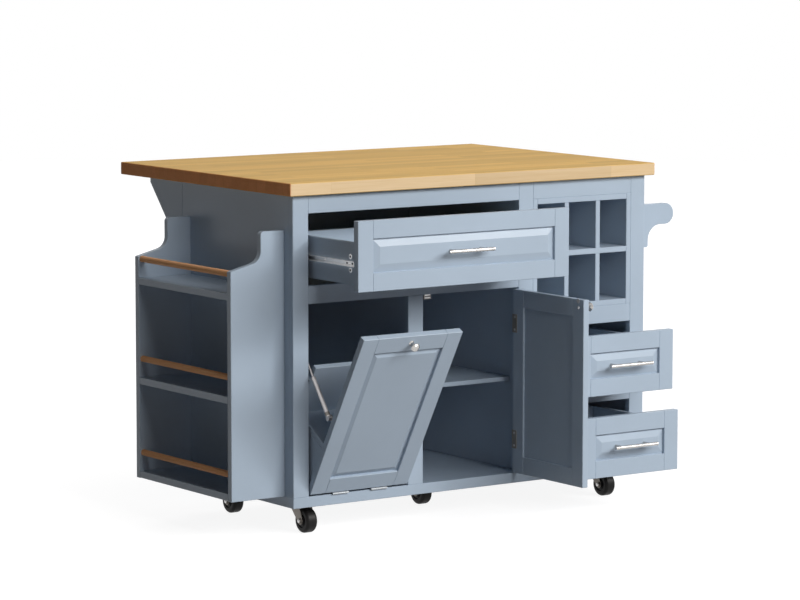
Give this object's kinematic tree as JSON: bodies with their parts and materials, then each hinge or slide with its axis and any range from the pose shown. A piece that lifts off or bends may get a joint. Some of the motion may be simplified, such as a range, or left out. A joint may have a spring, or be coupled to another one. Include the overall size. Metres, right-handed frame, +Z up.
{
  "type": "kitchen cart",
  "caption": "Rolling kitchen cart with an overhanging wood worktop, painted cabinet, drawers, tilt-out bin door, hinged door, bottle rack, spice rack and towel bar.",
  "frame": {"origin": "centre of the footprint of the whole part at rest, on the floor", "axes": "+Z up, +X from the spice rack towards the towel bar, +Y from the drawers towards the rear overhang"},
  "size_m": [1.461, 1.1528, 0.927],
  "materials": {
    "blue_paint": "satin paint",
    "worktop_wood": "satin lacquer",
    "rod_wood": "satin lacquer",
    "satin_nickel": "satin",
    "zinc_steel": "zinc plated",
    "wheel_black": "matte",
    "white_plastic": "matte"
  },
  "bodies": {
    "carcass": {"worktop": "worktop_wood", "left_side_panel": "blue_paint", "right_side_panel": "blue_paint", "back_panel": "blue_paint", "base_panel": "blue_paint", "front_stiles": "blue_paint", "front_rails": "blue_paint", "partition_panel": "blue_paint", "divider_panel": "blue_paint", "drawer_deck": "blue_paint", "slide_battens": "blue_paint", "cabinet_shelf": "blue_paint", "shelf_pins": "zinc_steel", "wine_rack_uprights": "blue_paint", "wine_rack_shelves": "blue_paint", "wine_rack_back": "blue_paint", "overhang_brackets": "blue_paint", "spice_rack_sides": "blue_paint", "spice_rack_shelves": "blue_paint", "spice_rack_rods": "rod_wood", "towel_brackets": "blue_paint", "towel_rod": "rod_wood", "slide_channels": "zinc_steel", "hinge_frame_leaves": "zinc_steel", "door_catch": "white_plastic", "strut_side_bracket": "zinc_steel", "caster_plates": "zinc_steel"},
    "wide_drawer": {"wide_drawer_front": "blue_paint", "wide_drawer_box": "blue_paint", "wide_drawer_handle": "satin_nickel", "wide_drawer_slide_rails": "zinc_steel"},
    "upper_drawer": {"upper_drawer_front": "blue_paint", "upper_drawer_box": "blue_paint", "upper_drawer_handle": "satin_nickel", "upper_drawer_slide_rails": "zinc_steel"},
    "lower_drawer": {"lower_drawer_front": "blue_paint", "lower_drawer_box": "blue_paint", "lower_drawer_handle": "satin_nickel", "lower_drawer_slide_rails": "zinc_steel"},
    "tilt_front": {"tilt_door": "blue_paint", "tilt_knob": "satin_nickel", "tilt_bin_tray": "blue_paint", "tilt_bin_back": "blue_paint", "tilt_hinge_leaves": "zinc_steel", "strut_door_bracket": "zinc_steel"},
    "swing_door": {"cabinet_door": "blue_paint", "door_knob": "satin_nickel", "door_hinge_leaves": "zinc_steel"},
    "stay_rod": {"strut_rod": "zinc_steel"},
    "stay_tube": {"strut_tube": "zinc_steel"},
    "caster_1_swivel": {"caster_1_fork": "zinc_steel"},
    "caster_1_roll": {"caster_1_wheel": "wheel_black"},
    "caster_2_swivel": {"caster_2_fork": "zinc_steel"},
    "caster_2_roll": {"caster_2_wheel": "wheel_black"},
    "caster_3_swivel": {"caster_3_fork": "zinc_steel"},
    "caster_3_roll": {"caster_3_wheel": "wheel_black"},
    "caster_4_swivel": {"caster_4_fork": "zinc_steel"},
    "caster_4_roll": {"caster_4_wheel": "wheel_black"},
    "caster_5_swivel": {"caster_5_fork": "zinc_steel"},
    "caster_5_roll": {"caster_5_wheel": "wheel_black"}
  },
  "joints": [
    {"name": "wide_drawer_slide", "type": "slide", "parent": "carcass", "child": "wide_drawer", "axis": [0, -1, 0], "range_m": [-0.225, 0.025]},
    {"name": "upper_drawer_slide", "type": "slide", "parent": "carcass", "child": "upper_drawer", "axis": [0, -1, 0], "range_m": [-0.193, 0.057]},
    {"name": "lower_drawer_slide", "type": "slide", "parent": "carcass", "child": "lower_drawer", "axis": [0, -1, 0], "range_m": [-0.217, 0.033]},
    {"name": "tilt_door_hinge", "type": "hinge", "parent": "carcass", "child": "tilt_front", "pos_m": [-0.3605, -0.2649, 0.1045], "axis": [1, 0, 0], "range_deg": [-30, 0]},
    {"name": "cabinet_door_hinge", "type": "hinge", "parent": "carcass", "child": "swing_door", "pos_m": [0.16, -0.2649, 0.356], "axis": [0, 0, 1], "range_deg": [-90, 5]},
    {"name": "stay_rod_pivot", "type": "hinge", "parent": "carcass", "child": "stay_rod", "pos_m": [-0.5115, -0.1916, 0.525], "axis": [1, 0, 0], "range_deg": [-1, 25]},
    {"name": "stay_tube_slide", "type": "slide", "parent": "stay_rod", "child": "stay_tube", "axis": [0, -0.6033, -0.7975], "range_m": [-0.0697, 0.001]},
    {"name": "caster_1_swivel_turn", "type": "hinge", "parent": "carcass", "child": "caster_1_swivel", "pos_m": [-0.4975, -0.1896, 0.075], "axis": [0, 0, 1], "continuous": true},
    {"name": "caster_1_wheel_roll", "type": "hinge", "parent": "caster_1_swivel", "child": "caster_1_roll", "pos_m": [-0.4975, -0.2166, 0.0325], "axis": [1, 0, 0], "continuous": true},
    {"name": "caster_2_swivel_turn", "type": "hinge", "parent": "carcass", "child": "caster_2_swivel", "pos_m": [0.4945, -0.1896, 0.075], "axis": [0, 0, 1], "continuous": true},
    {"name": "caster_2_wheel_roll", "type": "hinge", "parent": "caster_2_swivel", "child": "caster_2_roll", "pos_m": [0.4945, -0.2166, 0.0325], "axis": [1, 0, 0], "continuous": true},
    {"name": "caster_3_swivel_turn", "type": "hinge", "parent": "carcass", "child": "caster_3_swivel", "pos_m": [-0.4975, 0.1704, 0.075], "axis": [0, 0, 1], "continuous": true},
    {"name": "caster_3_wheel_roll", "type": "hinge", "parent": "caster_3_swivel", "child": "caster_3_roll", "pos_m": [-0.4975, 0.1434, 0.0325], "axis": [1, 0, 0], "continuous": true},
    {"name": "caster_4_swivel_turn", "type": "hinge", "parent": "carcass", "child": "caster_4_swivel", "pos_m": [0.4945, 0.1704, 0.075], "axis": [0, 0, 1], "continuous": true},
    {"name": "caster_4_wheel_roll", "type": "hinge", "parent": "caster_4_swivel", "child": "caster_4_roll", "pos_m": [0.4945, 0.1434, 0.0325], "axis": [1, 0, 0], "continuous": true},
    {"name": "caster_5_swivel_turn", "type": "hinge", "parent": "carcass", "child": "caster_5_swivel", "pos_m": [-0.0015, -0.0096, 0.075], "axis": [0, 0, 1], "continuous": true},
    {"name": "caster_5_wheel_roll", "type": "hinge", "parent": "caster_5_swivel", "child": "caster_5_roll", "pos_m": [-0.0015, -0.0366, 0.0325], "axis": [1, 0, 0], "continuous": true}
  ],
  "couplings": [
    {"joint": "stay_rod_pivot", "follows": "tilt_door_hinge", "ratio": -0.80105},
    {"joint": "stay_tube_slide", "follows": "tilt_door_hinge", "m_per_rad": 0.13121}
  ]
}
